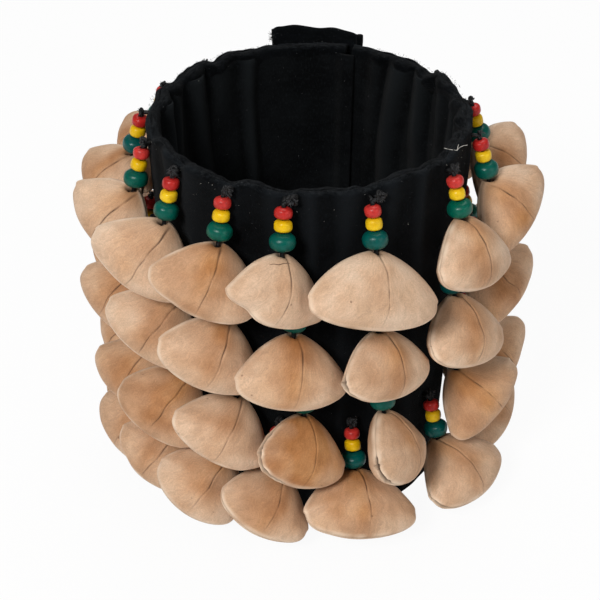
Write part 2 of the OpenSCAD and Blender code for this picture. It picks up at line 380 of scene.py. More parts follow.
def shell_material():
    """Dry woody shell: tan, paler to its edges, with a fine wandering grain, a painted highlight along the
    keel edge, and dark seams that are partly their own colour and partly painted shade in their grooves,
    with painted shade in the splits and the cord's hole.
    """
    n = Nodes("nut_shell", specular=0.22)
    at = n.local()
    across = n.make("SeparateXYZ", {"Vector": at})
    fan = n.make("Attribute", attribute_name="masks").outputs["Alpha"]
    wander = n.between(n.noise(at, 0.2, 3, 0.6), 0.3, 0.7, -1.6, 1.6)
    turn = n.math("ADD", n.math("MULTIPLY", fan, 26), wander)
    links = {"X": turn, "Y": n.math("MULTIPLY", across.outputs["Y"], 0.14)}
    fibre = n.noise(n.make("CombineXYZ", links).outputs["Vector"], 1.3, 4, 0.65)
    blotch = n.noise(at, 0.09, 3, 0.5)
    patch = n.noise(at, 0.05, 2, 0.5)
    grain = n.noise(at, 2.2, 4, 0.7)
    tans = srgb(201, 166, 135), srgb(210, 177, 148), srgb(217, 188, 161)
    browns = srgb(158, 104, 60), srgb(175, 121, 74), srgb(189, 137, 89)
    pale, brown = (n.ramp(blotch, *zip((0.35, 0.5, 0.65), three)) for three in (tans, browns))
    tone = n.math("ADD", n.mask("Blue"), n.between(patch, 0.35, 0.7, -0.08, 0.16), True)
    colour = n.mix(tone, pale, brown)
    streak = n.between(fibre, 0.36, 0.62, 0.88, 1.06)
    shade = n.math("MULTIPLY", streak, n.between(grain, 0.35, 0.65, 0.88, 1.08))
    grey = n.make("CombineColor", {"Red": shade, "Green": shade, "Blue": shade}).outputs["Color"]
    colour = n.mix(1.0, colour, grey, "MULTIPLY")
    pit = n.make("TexVoronoi", {"Vector": at, "Scale": 0.11}).outputs["Distance"]
    colour = n.mix(n.between(pit, 0.02, 0.05, 0.6, 0.0), colour, srgb(92, 60, 38))
    # Painted highlight: a pale line along the keel edge, where the two faces meet.
    colour = n.mix(n.math("MULTIPLY", n.mask("Green"), 0.75), colour, srgb(238, 214, 188))
    # Dark mask: the seam's own darker line together with painted shade in its groove, and painted shade in
    # the open splits, along the keel edge and in the cord's hole.
    colour = n.mix(n.mask("Red"), colour, srgb(46, 28, 18))
    rough = n.between(blotch, 0.3, 0.7, 0.7, 0.58)
    height = n.math("ADD", n.math("MULTIPLY", fibre, 0.5), n.math("MULTIPLY", grain, 0.4))
    return n.finish(colour, rough, height, 0.15 * MM, 0.8)


def paint_material(name, colour, dark, other):
    """Painted wooden bead: thin satin paint over fine grain, darker with wear in places."""
    n = Nodes(name, specular=0.22)
    at = n.local()
    cloud = n.noise(at, 0.55, 4, 0.6)
    grain = n.noise(n.scaled(at, 3.0, 3.0, 0.5), 1.0, 3, 0.6)
    base = n.mix(n.mask("Blue"), colour, other)
    base = n.mix(n.between(cloud, 0.45, 0.8, 0.0, 0.75), base, dark)
    rough = n.between(cloud, 0.3, 0.7, 0.24, 0.36)
    height = n.math("ADD", cloud, n.math("MULTIPLY", grain, 0.5))
    return n.finish(base, rough, height, 0.09 * MM, 0.7)


def cotton_material(name, colour, pale, lint):
    """Plain black cotton: an over and under weave, faded patches, a painted highlight on the fold ridges
    and on the rim's top, and a few specks of lint.
    """
    n = Nodes(name, 0.9, 0.03)
    at = n.local()
    parts = n.make("SeparateXYZ", {"Vector": at})
    turn = 2 * math.pi / WEAVE_PITCH
    warp = n.math("SINE", n.math("MULTIPLY", parts.outputs["X"], turn))
    weft = n.math("SINE", n.math("MULTIPLY", parts.outputs["Y"], turn))
    weave = n.math("MULTIPLY", warp, weft)
    slub = n.noise(n.scaled(at, 0.5, 1.4, 0.5), 1.0, 4, 0.7)
    thread = n.noise(n.scaled(at, 1.8, 0.7, 1.0), 1.0, 3, 0.7)
    faded = n.noise(at, 0.08, 4, 0.6)
    base = n.mix(n.between(faded, 0.4, 0.75, 0.0, 0.4), colour, pale)
    base = n.mix(n.between(slub, 0.5, 0.75, 0.0, 0.25), base, pale)
    base = n.mix(n.between(thread, 0.52, 0.68, 0.0, 0.55), base, pale)
    # Painted highlight on the ridges of the folds (green mask).
    base = n.mix(n.math("MULTIPLY", n.mask("Green"), 0.9), base, pale)
    # Painted highlight on the top of the rolled rim (red mask), broken up by the slubs.
    rim_highlight = n.math("MULTIPLY", n.mask("Red"), n.between(slub, 0.4, 0.7, 0.0, 0.9))
    base = n.mix(rim_highlight, base, srgb(46, 49, 52))
    speck = n.noise(at, 2.4, 1, 0.4)
    base = n.mix(n.between(speck, lint, lint + 0.03, 0.0, 0.85), base, srgb(150, 150, 152))
    height = n.math("ADD", n.math("MULTIPLY", weave, 0.5), slub)
    n.shader.inputs["Sheen Weight"].default_value = 0.02
    n.shader.inputs["Sheen Roughness"].default_value = 0.5
    return n.finish(base, None, height, 0.2 * MM, 0.8)


def cord_material():
    """Waxed black cord: uneven in gloss, and greyer where it is frayed."""
    n = Nodes("cord", 0.6, 0.3)
    at = n.local()
    strand = n.noise(at, 2.4, 3, 0.6)
    base = n.mix(n.between(strand, 0.5, 0.8, 0.0, 0.6), srgb(6, 6, 7), srgb(30, 30, 32))
    base = n.mix(n.mask("Green"), base, srgb(50, 50, 52))
    return n.finish(base, n.between(strand, 0.3, 0.7, 0.35, 0.6), strand, 0.25 * MM, 0.9)


def thread_material(name, roughness, specular, scale, dark, pale):
    """Loose threads or lint, darker and paler in places."""
    n = Nodes(name, roughness, specular)
    return n.finish(n.ramp(n.noise(n.local(), scale, 2), (0.35, dark), (0.65, pale)))


def felt_material():
    """Grey felt: matted fibres."""
    n = Nodes("felt", 0.95, 0.1)
    at = n.local()
    mat = n.noise(n.scaled(at, 1.0, 1.0, 0.4), 1.6, 5, 0.7)
    colour = n.ramp(mat, (0.3, srgb(34, 34, 35)), (0.7, srgb(78, 78, 80)))
    return n.finish(colour, None, mat, 0.4 * MM, 0.9)


def tape_material(name, pitch, depth):
    """Fastener tape: close rows of small hooks or loops."""
    n = Nodes(name, 0.7, 0.3)
    at = n.local()
    dots = n.make("TexVoronoi", {"Vector": at, "Scale": 1 / pitch, "Randomness": 0.45}).outputs["Distance"]
    colour = n.ramp(dots, (0.0, srgb(52, 52, 55)), (0.7, srgb(14, 14, 15)))
    return n.finish(colour, None, n.math("SUBTRACT", 1.0, dots), depth * MM, 1.0)


# Black of the outer cloth and its paler colour, which serves both real fading and slubs and the painted
# highlight on the gathers' ridges.
BLACK, FADED_AND_HIGHLIGHT = srgb(2, 3, 4), srgb(20, 23, 26)
shell_look = shell_material()
red_look = paint_material("red_paint", srgb(174, 34, 30), srgb(108, 14, 14), srgb(196, 56, 50))
yellow_look = paint_material("yellow_paint", srgb(222, 178, 10), srgb(184, 134, 4), srgb(232, 192, 30))
green_look = paint_material("green_paint", srgb(0, 90, 70), srgb(0, 56, 50), srgb(0, 76, 74))
outer_look = cotton_material("outer_cotton", BLACK, FADED_AND_HIGHLIGHT, lint=0.79)
# The lining's paler colour also paints the highlight on the crests of its folds.
lining_look = cotton_material("lining_cotton", srgb(5, 6, 7), srgb(26, 29, 31), lint=0.82)
cord_look = cord_material()
fuzz_look = thread_material("fuzz", 0.9, 0.1, 0.6, srgb(18, 19, 20), srgb(56, 58, 61))
felt_look = felt_material()
thread_look = thread_material("pale_thread", 0.8, 0.2, 0.8, srgb(150, 146, 138), srgb(214, 210, 202))
hook_look = tape_material("hook_tape", 0.9, 0.5)
loop_look = tape_material("loop_tape", 0.6, 0.35)


# Nut shells

def shell_outline(form):
    """Outline of one shell round the middle of its face: as its solid has it, but a little uneven."""
    a = np.linspace(0, 2 * math.pi, OUTLINE_POINTS, endpoint=False)
    up, high = np.sin(a), OUTLINE_MID - OUTLINE_TIP
    x = OUTLINE_W / 2 * np.cos(a)
    y = OUTLINE_TIP + np.where(up > 0, high * up * up, (OUTLINE_H - high) * up)
    y = y + APEX_LIFT * bump(a - math.pi / 2, 0.22)
    grow = np.ones(a.shape)
    for k, size, phase in form["waves"]:
        grow = grow * (1 + size * np.cos(k * a + phase))
    for at, depth, width in form["dents"]:
        grow = grow * (1 - depth * bump(apart(np.degrees(a), at), width))
    return x * grow * np.where(x < 0, form["left"], 1), y * grow


def shell_form(strand):
    """The size of one shell and what is its own: uneven outline, seam, split and tone."""
    n, row, col = strand.index, strand.row, strand.col
    rng = np.random.default_rng(100 + n)
    # A wave has a number, a size and a phase, and a dent has an angle, a depth and a width
    form = {
        "w": SHELL_W[row][col],
        "h": SHELL_H[row] * (1 + 0.04 * vary(n + 9)),
        "t": SHELL_T * (1 + 0.04 * vary(n + 4)),
        "waves": [(k, size * rng.normal(), rng.uniform(0, 6.28))
                  for k, size in ((2, 0.014), (3, 0.012), (4, 0.008), (6, 0.004), (9, 0.0015))],
        "dents": [(rng.choice([215, 240, 305, 325]), rng.uniform(-0.02, 0.04), rng.uniform(14, 24)),
                  (184, 0.05, 18), (-4, 0.04, 16)],
        "left": LONG_LOBE if SHELL_W[row][col] > 42 else 1.0,
        "mirror": SHELL_YAW[row][col] < -10,
        "seam_at": rng.uniform(-1.2, 1.2),
        "seam_slant": rng.uniform(-0.06, 0.04),
        "gape": SHELL_GAPE[row][col],
        "gape_from": rng.uniform(172, 180),
        "gape_to": rng.uniform(202, 214),
        "tone": SHELL_TONE[row][col],
        "seed": 200 + n,
    }
    # The pale shell at the front of the top row has a deep dent at its lower left
    if (row, col) == (0, 6):
        form["dents"] = [(228, 0.2, 22), (318, 0.04, 16), (-4, 0.05, 11)]
    # The darkest shell gapes from above its tip to well below it
    if (row, col) == (2, 6):
        form["gape_from"], form["gape_to"] = 150, 236
    form["outline"] = shell_outline(form)
    polar = np.arctan2(form["outline"][1], form["outline"][0])
    order = np.argsort(polar)
    form["polar"] = polar[order], np.hypot(*form["outline"])[order]
    return form


def shell_axes(strand):
    """Right, down and outward axes of a shell that hangs at rest."""
    n = strand.index
    lean = SHELL_LEAN[strand.row] + MORE_LEAN[strand.row][strand.col]
    yaw = SHELL_YAW[strand.row][strand.col] + 2 * vary(n + 2)
    roll = SHELL_ROLL[strand.row][strand.col] + 5 * vary(2 * n + 5)
    down = strand.out * sind(lean) - strand.up * cosd(lean)
    face = strand.out * cosd(lean) + strand.up * sind(lean)
    right = strand.right * cosd(yaw) - face * sind(yaw)
    face = face * cosd(yaw) + strand.right * sind(yaw)
    return right * cosd(roll) + down * sind(roll), down * cosd(roll) - right * sind(roll), face


def shell_grid(form, stations=60, around=26):
    """Points on one face in the outline's plane: across from tip to tip, then down from edge to edge."""
    across = form["outline"][0] * form["w"] / OUTLINE_W
    down = (OUTLINE_MID - form["outline"][1]) * form["h"] / OUTLINE_H
    right, left = int(np.argmax(across)), int(np.argmin(across))
    ids = np.arange(OUTLINE_POINTS)
    top = np.roll(ids, -right)[: (left - right) % OUTLINE_POINTS + 1]
    low = np.roll(ids, -left)[: (right - left) % OUTLINE_POINTS + 1]
    share = (1 - np.cos(math.pi * np.arange(stations + 1) / stations)) / 2
    u = across[left] + (across[right] - across[left]) * share
    near = form["seam_at"] + np.array([-1.3, -0.8, -0.45, -0.2, 0.0, 0.2, 0.45, 0.8, 1.3])
    u = np.sort(np.concatenate([u[np.abs(u - form["seam_at"]) > 1.5], near]))
    top, low = (part[np.argsort(across[part])] for part in (top, low))
    v_top, v_low = (np.interp(u, across[part], down[part]) for part in (top, low))
    q = -np.cos(math.pi * np.arange(around + 1) / around)
    v = (v_top + v_low)[:, None] / 2 + q * (v_low - v_top)[:, None] / 2
    return np.repeat(u[:, None], around + 1, 1), v


def shell_split(form, polar):
    """How far the keel is split at angles round the outline, from 0 to a little over 1."""
    turn = np.degrees(math.pi - polar if form["mirror"] else polar) % 360
    split = ease(form["gape_from"] - 8, form["gape_from"] + 10, turn)
    split = split * (1 - ease(form["gape_to"] - 14, form["gape_to"] + 8, turn))
    return np.clip(split * (0.85 + 0.25 * ripples(polar, polar, 0.25, form["seed"] + 2)), 0, 1.2)


def shell_face(strand, form, u, v, sign):
    """Points, local coordinates and masks of one face of a shell over points in the outline's plane."""
    w, h, t, seed = form["w"], form["h"], form["t"], form["seed"]
    flat_u, flat_v = u * OUTLINE_W / w, OUTLINE_MID - v * OUTLINE_H / h
    polar = np.arctan2(flat_v, flat_u)
    reach = np.interp(polar, *form["polar"], period=2 * math.pi)
    share = np.clip(np.hypot(flat_u, flat_v) / reach, 0, 1)
    rim = share > 0.9999
    edge = (1 - share) * reach
    middle = 1 - share ** 4
    seam = form["seam_at"] + form["seam_slant"] * (v - h / 2) + 0.25 * ripples(0 * v, v, 9, seed + 1)
    u = u + (seam - form["seam_at"]) * bump(u - form["seam_at"], 5) * middle
    off_seam = u - seam
    apex_far = np.hypot(u, v)
    fan = np.arctan2(u, v + 4)
    split = shell_split(form, polar)
    spots = np.stack([u, v, sign * 9 + 0 * u], -1)
    x = 0.93 * t / 2 * np.clip(1 - share ** 2, 0, 1) ** 0.6
    x = x * (0.97 + 0.06 * np.exp(-np.abs(off_seam) / 5))
    x = x + 0.3 * lumps(spots, 14, seed + 3) * middle * (1 - share)
    x = x + 0.1 * lumps(spots, 4.5, seed + 4) * middle
    x = x + 0.1 * np.sin(17 * fan + 2 * lumps(spots, 12, seed + 5)) * np.exp(-apex_far / 8) * middle
    seam_w = 0.22 + 0.4 * np.exp(-v / 4)
    x = x - (0.22 + 0.9 * np.exp(-v / 4)) * bump(off_seam, seam_w) * middle
    x = x + (0.12 * bump(edge, 0.5) - 0.1 * bump(edge - 1.1, 0.4)) * ease(0, 0.4, edge)
    x = np.where(rim, 0, np.sqrt(x ** 2 + (form["gape"] / 2 * split * bump(edge, 2.2)) ** 2))
    inward = np.where(rim, 0.3 + 1.5 * np.minimum(split, 1), 0)
    uu, vv = u - np.cos(polar) * inward, v + np.sin(polar) * inward
    right, down, face = shell_axes(strand)
    points = strand.hinge + uu[..., None] * right + (vv - HINGE_AT + APEX_AT)[..., None] * down
    points = points + sign * x[..., None] * face
    pit = cord_pit(strand, points)
    points = clear_bead(strand, points + 1.6 * pit[..., None] * strand.down)
    # Seam line: its own darker colour and painted shade in its groove, strongest near the apex where the
    # groove is deepest.
    dark = 0.5 + 0.5 * np.exp(-v / 6) + 0.4 * lumps(spots, 5, seed + 6)
    dark = np.clip(dark * bump(off_seam, 0.15 + 0.3 * np.exp(-v / 4)), 0, 1) * middle
    # Painted shade along the keel edge, deeper in the open split at the tip.
    dark = np.maximum(dark, np.where(rim, np.minimum(1, 0.2 + split * form["gape"]), 0))
    # Painted shade in the hole that the cord enters.
    dark = np.clip(np.maximum(dark, pit), 0, 1)
    # Painted highlight along the keel edge, uneven along its length.
    keel = np.clip(bump(edge, 0.5) * (0.7 + 0.4 * lumps(spots, 6, seed + 7)), 0, 1)
    tone = form["tone"] + 0.3 * bump(apex_far, 7) + 0.1 * lumps(spots, 10, seed + 8) - 0.3 * bump(edge, 5)
    tone = tone + 0.26 * bump(off_seam + 2.5, 3.5) - 0.22 * ease(1, 8, off_seam)
    local = np.stack([u + 61 * strand.index, v + 37 * strand.index, sign * x], -1)
    return points, local, np.stack([dark, keel, np.clip(tone, 0, 1), fan + 3 * sign], -1)


def shell_piece(strand):
    """Nut shell: two domed faces, a keel with a split at the tip that is turned out, and a seam."""
    form = shell_form(strand)
    u, v = shell_grid(form)
    faces_of = [shell_face(strand, form, u, v, sign) for sign in (1, -1)]
    ring = [np.concatenate([a, b[:, -2:0:-1]], 1)[1:-1] for a, b in zip(*faces_of)]
    rows, cols = ring[0].shape[:2]
    tips = [np.stack([a[0].mean(0), a[-1].mean(0)]) for a in faces_of[0]]
    faces = grid_faces(rows, cols, wrap_cols=True)
    first, last = rows * cols, rows * cols + 1
    faces += [(first, j, (j + 1) % cols) for j in range(cols)]
    faces += [(last, (rows - 1) * cols + (j + 1) % cols, (rows - 1) * cols + j) for j in range(cols)]
    soup = Soup()
    points, local, masks = [np.concatenate([g.reshape(-1, g.shape[-1]), t]) for g, t in zip(ring, tips)]
    soup.add(points, faces, local, masks)
    obj = soup.piece("shell_" + strand.name, shell_look, "nut_shell", strand.name)
    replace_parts(obj, strand.name)


def painted_crack_shade():
    """Short crack across the shoulder of one shell of the top row, drawn as a thin dark tube: painted shade
    in the crack.
    """
    strand = strands[6]
    form = shell_form(strand)
    s = np.linspace(0, 1, 28)
    u = -7.5 + 7.0 * s
    v = 4.6 - 1.8 * s + 0.22 * lumps(s[:, None], 0.55, 302)
    path = shell_face(strand, form, u, v, 1)[0]
    soup = Soup()
    # A dark tube for the painted shade in the crack.
    add_tube(soup, path, 0.03 + 0.09 * np.sin(math.pi * s) ** 0.5, 6, [0.85, 0, 0.5, 1])
    soup.piece("painted_crack_shade", shell_look, "nut_shell", strand.name)


def cord_ways(strand):
    """Directions of the cord from the hinge over the whole swing, as the shell sees it."""
    for swing in np.linspace(0, SHELL_SWING[strand.row], 5):
        yield -strand.down * cosd(swing) + np.cross(strand.down, strand.right) * sind(swing)


def clear_bead(strand, points):
    """The points, moved just clear of the green bead over the whole swing."""
    half, radius = LARGE_BEAD[1] / 2 + 0.25, LARGE_BEAD[0] / 2 + 0.2
    for way in cord_ways(strand):
        bead = strand.hinge + (HINGE_AT - GREEN_AT) * way
        offset = points - bead
        along = offset @ way
        across = np.linalg.norm(offset - along[..., None] * way, axis=-1)
        size = ((np.abs(along) / half) ** 2.5 + (across / radius) ** 2.5) ** 0.4
        points = bead + offset * (1 / np.clip(size, 0.4, 1))[..., None]
    return points


def cord_pit(strand, points):
    """How deep each point lies in the hole that the cord enters, from 0 to 1, over the whole swing."""
    nearest = np.full(points.shape[:-1], 99.0)
    for way in cord_ways(strand):
        offset = points - strand.hinge
        along = np.clip(offset @ way, 0, 9)
        nearest = np.minimum(nearest, np.linalg.norm(offset - along[..., None] * way, axis=-1))
    return bump(np.maximum(nearest - 0.75, 0), 0.45)


# Beads

def add_bead(soup, strand, along, size, seed, roundness):
    """Turned bead on its cord: bored, a little uneven and a little askew."""
    rng = np.random.default_rng(seed)
    radius, half = size[0] / 2 * rng.uniform(0.95, 1.0), size[1] / 2 * rng.uniform(0.94, 1.0)
    bore = CORD_R + 0.15
    axis = strand.down + 0.06 * rng.normal() * strand.right + 0.04 * rng.normal() * strand.out
    axis /= np.linalg.norm(axis)
    side = np.cross(axis, strand.right)
    side /= np.linalg.norm(side)
    other = np.cross(axis, side)
    tau = np.radians(np.linspace(-86, 86, 19))
    power = 2 / roundness
    r = radius * np.abs(np.cos(tau)) ** power
    z = half * np.sign(np.sin(tau)) * np.abs(np.sin(tau)) ** power
    r = np.concatenate([np.maximum(r, bore), [bore, bore]])
    z = np.concatenate([z, [half * 0.6, -half * 0.6]])
    turn = np.radians(np.arange(0, 360, 10))
    rr, tt = np.meshgrid(r, turn, indexing="ij")
    zz = np.repeat(z[:, None], len(turn), 1)
    spots = np.stack([rr * np.cos(tt), rr * np.sin(tt), zz], -1)
    rr = rr + 0.07 * lumps(spots, 4, seed + 1) * (rr > bore + 0.05)
    ways = np.cos(tt)[..., None] * side + np.sin(tt)[..., None] * other
    points = strand.at(along) + rr[..., None] * ways + zz[..., None] * axis
    masks = np.zeros(points.shape[:2] + (4,))
    masks[..., 2] = rng.uniform(0, 1)
    soup.add(points, grid_faces(len(r), len(turn), True, True), spots + 20 * rng.normal(size=3), masks)


def bead_piece(name, look, slot, along, size, seed, roundness):
    """All the beads of one colour."""
    soup = Soup()
    for strand in strands:
        add_bead(soup, strand, along, size, seed + 10 * strand.index, roundness)
    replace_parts(soup.piece("painted_" + name, look, slot, "cuff"), name)


# Cords

def add_knot(soup, strand):
    """Fuzzy tie knot on the cloth: two tight loops a little aside, with frayed ends all round."""
    rng = np.random.default_rng(700 + strand.index)
    front = abs(strand.bearing) < 80
    aside = rng.uniform(0.2, 1.0)
    if strand.row == 0:
        aside = KNOT_ASIDE.get(strand.col, aside)
    middle = strand.at(-1.0 if front else -0.2) + aside * strand.right + 0.1 * strand.out
    add_tube(soup, np.linspace(strand.at(0.4), middle, 6), CORD_R)
    turn = np.linspace(0, 2 * math.pi, 49)
    small = 0.85 if front else 0.6
    for size in (0.66 * small, 0.5 * small):
        a = rng.uniform(0, 360)
        one = strand.right * cosd(a) + strand.up * sind(a)
        two = strand.up * cosd(a) - strand.right * sind(a)
        loop = (
            (np.sin(turn) + 2 * np.sin(2 * turn))[:, None] * one
            + (np.cos(turn) - 2 * np.cos(2 * turn))[:, None] * two
            + (-1.1 * np.sin(3 * turn))[:, None] * strand.out
        )
        add_tube(soup, middle + size * loop, 0.6 * small, 7)
    for _ in range(26 if front else 8):
        way = strand.out * rng.uniform(0.1, 0.9) + strand.right * rng.normal(0.1, 0.8)
        way = way + strand.up * rng.normal(0.1, 0.8)
        way /= np.linalg.norm(way)
        bend = np.cross(way, rng.normal(size=3)) - 0.5 * strand.up
        length = rng.uniform(0.6, 1.5) * small
        s = np.linspace(0, 1, 5)[:, None]
        path = middle + 0.9 * way + s * length * way + s ** 2 * length * 0.5 * bend
        add_tube(soup, path, np.linspace(0.22, 0.08, 5), 5, [0, 1, 0, 1])


def cord_piece():
    """Each strand's cord, from inside the cloth to its stopper inside the shell, and its tie knot."""
    soup = Soup()
    for strand in strands:
        add_tube(soup, [strand.at(s) for s in np.linspace(0, HINGE_AT, 24)], CORD_R)
        stopper = np.linspace(-1.8, 1.8, 7)
        radii = 0.9 * np.sqrt(np.clip(1.05 - (stopper / 1.8) ** 2, 0.1, 1))
        add_tube(soup, [strand.hinge + s * strand.right for s in stopper], radii)
        add_tube(soup, [strand.knot - s * strand.out for s in np.linspace(0, 2.6, 4)], CORD_R)
        add_knot(soup, strand)
    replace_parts(soup.piece("tied_cords", cord_look, "cord", "cuff"), "cords")


# Cloth

def folds(b, z, seed, sharp):
    """Depth of the gathers from 0 to 1: uneven, wandering with height, none at the closure."""
    wander = 55 * ripples(b / 9, z / 26, 6, seed) + 70 * sind(3 * b) + 50 * sind(7 * b + 40)
    wander = wander + 1.3 * (z - CUFF_H) * ease(60, 110, b) - 0.7 * (z - CUFF_H) * ease(-60, -110, b)
    wave = 0.5 - 0.5 * cosd(GATHERS * b + wander)
    uneven = 0.66 + 0.34 * ripples(b / 6, z / 50, 4, seed + 1)
    return wave ** sharp * np.clip(uneven, 0.15, 1) * ease(20, 30, np.abs(apart(b, FLAP_MID)))


def puckers(b, z):
    """Small pull of each tie knot on the cloth round it."""
    pull = np.zeros(b.shape)
    for strand in strands:
        across = apart(b, strand.bearing) / DEG_PER_MM
        up = z - strand.knot[2]
        far = np.hypot(across, up)
        near = far < 16
        wrinkle = np.cos(7 * np.arctan2(up, across) + strand.index)
        pull += np.where(near, 0.5 * bump(far, 2.6) + 0.16 * (0.5 + 0.5 * wrinkle) * np.exp(-far / 5), 0)
    return pull


def sheet(b, z, outer, inner, painted_highlight=0.0, rim_highlight=0.0):
    """Closed sheet between two faces, with local coordinates along the cloth in millimetres."""
    front, back = place(b, outer, z), place(b, inner, z)
    rows, cols = b.shape
    along = b / DEG_PER_MM
    faces = grid_faces(rows, cols)
    count = rows * cols
    back_faces = [tuple(i + count for i in reversed(f)) for f in faces]
    grid = np.arange(count).reshape(rows, cols)
    border = np.concatenate([grid[:-1, 0], grid[-1, :-1], grid[:0:-1, -1], grid[0, :0:-1]])
    rim = [(j, i, i + count, j + count) for i, j in zip(border, np.roll(border, -1))]
    local = np.concatenate([np.stack([along, z, 0 * z], -1), np.stack([along, z, 0 * z + 1], -1)])
    both, rim_highlight = (np.concatenate([m + 0 * b, m + 0 * b]) for m in (painted_highlight, rim_highlight))
    masks = np.stack([rim_highlight, both, 0 * both, 1 + 0 * both], -1)
    soup = Soup()
    soup.add(np.concatenate([front, back]), faces + back_faces + rim, local, masks)
    return soup


def strip_grid(z_low, z_high, turns, levels, b_from=STRIP_FROM, b_to=STRIP_TO):
    """Bearings and heights over the whole cuff or a part of it."""
    b = np.linspace(b_from, b_to, turns)
    z = np.linspace(z_low, z_high, levels)
    return np.meshgrid(b, z, indexing="ij")


def outer_cloth():
    """Outer cloth: drawn into gathers under the rim, and turned in over it at the top."""
    b, share = strip_grid(0, 1, 900, 80)
    share = 1 - (1 - share) ** 1.6
    top = rim_height(b) - 0.15
    z = HEM_H - 1 + (top - HEM_H + 1) * share
    edge = np.maximum(bump(z - CUFF_H, 40), 0.7 * bump(z, 40))
    depth = folds(b, z, *OUTER_FOLDS)
    off = -(0.3 + 0.9 * edge) * depth - puckers(b, z) - 0.1 * (1 + ripples(b / 3, z / 5, 4, 33))
    off = np.maximum(off, -1.1) + 0.25 * edge
    roll = np.clip((z - top + 1.7) / 1.7, 0, 1)
    off = off - 1.7 * (1 - np.sqrt(1 - 0.98 * roll ** 2))
    # Painted highlight: paler where the gathers are shallow, more so near the rim and the foot, so that the
    # hollows between them stay dark.
    painted_highlight = np.clip(1 - 2 * depth, 0, 1) * (0.5 + 0.5 * edge)
    # The last mask is a painted highlight along the rolled top.
    soup = sheet(b, z, off, off - CLOTH_T, painted_highlight, 0.5 * bump(z - top, 0.8))
    obj = soup.piece("gathered_outer_cloth", outer_look, "outer_cotton", "cuff")
    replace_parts(obj, "outer_cloth")
    return obj


def lining_depth(b, z):
    """Depth of the lining's folds: broad and rounded inwards, with narrow creases between them."""
    uneven = 0.6 * ripples(b / 4, z / 40, 4, 43) + 0.3 * ripples(b / 5, z / 9, 3, 44)
    return 2.9 * folds(b, z, *LINING_FOLDS) + uneven * ease(18, 26, np.abs(apart(b, FLAP_MID)))


def lining_cloth():
    """Lining: bunched into upright folds, with its first end lapped over the slit."""
    b, z = strip_grid(HEM_H - 1, CUFF_H - 2, 900, 60, STRIP_FROM - LAP)
    depth = lining_depth(b, z) * (0.75 + 0.25 * bump(z - CUFF_H, 50))
    lapped = 1 - ease(STRIP_FROM, STRIP_FROM + 5, b)
    off = LINING_IN + 0.4 - np.maximum(depth, 0) - 1.2 * lapped
    # Painted highlight on the crests of the folds that bulge furthest inwards.
    painted_highlight = np.clip(depth / 2.7 - 0.3, 0, 1) * 1.2
    soup = sheet(b, z, off + CLOTH_T, off - 0.7 * lapped, painted_highlight)
    obj = soup.piece("folded_lining", lining_look, "lining_cotton", "cuff")
    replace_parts(obj, "lining_cloth")
    return obj


def interlining():
    """Stiff felt between the two cloths."""
    b, z = strip_grid(HEM_H, CUFF_H - HEM_H, 240, 24)
    uneven = 0.04 * ripples(b / 2, z / 2, 3, 51)
    soup = sheet(b, z, FELT_OUT - 0.06 + uneven, FELT_IN + 0.05 + uneven)
    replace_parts(soup.piece("felt_interlining", felt_look, "felt", "cuff"), "interlining")


def rim_height(b):
    """Height of the rim: it dips where a cord of the top row is tied, and puffs up between them."""
    dips = np.zeros(b.shape)
    for strand in strands[:COLS]:
        dips += bump(apart(b, strand.bearing), 3.2) * (0.8 + 0.6 * abs(vary(strand.col + 3)))
    uneven = 0.4 * ripples(b / 5, 0 * b, 5, 61) + 0.14 * ripples(b / 2, 0 * b, 3, 62)
    return CUFF_H + 0.3 + uneven - dips


def top_hem():
    """Rolled edge over the layers at the rim: soft, uneven and gathered with the lining."""
    b = np.linspace(STRIP_FROM, STRIP_TO, 900)
    top = (rim_height(b) - 0.05)[:, None]
    outside = (-0.7 - 0.9 * folds(b, 0 * b + CUFF_H, *OUTER_FOLDS))[:, None]
    inside = (LINING_IN - 0.1 - 2.5 * folds(b, 0 * b + CUFF_H, *LINING_FOLDS))[:, None]
    phi = np.radians(np.linspace(0, 180, 17))
    base = CUFF_H - 6.5
    middle, half = (outside + inside) / 2, (outside - inside) / 2
    rise = np.minimum(2.6, half)
    tuck = np.array([1.3, 0.6, 0.1])
    leg = base + (top - rise - 0.4 - base) * np.linspace(0, 1, 3)
    off = np.concatenate([outside - tuck, middle + half * np.cos(phi), inside + tuck[::-1]], 1)
    z = np.concatenate([leg, top - rise + rise * np.sin(phi) ** 0.9, leg[:, ::-1]], 1)
    bb = b[:, None] + 0 * off
    spots = np.stack([bb / 2.2, off, z], -1)
    off = off + 0.16 * lumps(spots, 3.5, 63)
    z = z + 0.16 * lumps(spots, 3.0, 64) * ease(base + 1, base + 3, z)
    local = np.stack([bb / DEG_PER_MM, z + off, off], -1)
    painted_highlight = np.zeros(off.shape + (4,))
    # Painted highlight along the top of the rolled rim.
    painted_highlight[..., 0] = 0.5 * bump(z - top, 0.7)
    soup = Soup()
    add_ring(soup, place(bb, off, z)[:, ::-1], local[:, ::-1], painted_highlight[:, ::-1])
    obj = soup.piece("rolled_rim", outer_look, "outer_cotton", "cuff")
    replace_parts(obj, "top_hem")
    return obj


def rim_fuzz():
    """Frayed threads along the rim."""
    rng = np.random.default_rng(71)
    soup = Soup()
    for b in rng.uniform(STRIP_FROM, STRIP_TO, 900):
        top = float(rim_height(np.array([b]))[0])
        off = rng.uniform(-3.6, 0.0)
        start = place(b, off, top - 0.25 - 0.12 * (off + 1.9) ** 2)
        out = np.array([sind(b), -cosd(b), 0])
        across = np.array([cosd(b), sind(b), 0])
        way = np.array([0, 0, rng.uniform(0.1, 1)]) + across * rng.normal(0, 0.9)
        way = way + out * rng.normal(0.1, 0.6)
        add_hair(soup, rng, start, way, rng.uniform(0.3, 1.0), 0.05, 0.35)
    return soup.piece("rim_fuzz", fuzz_look, "outer_cotton", "cuff")


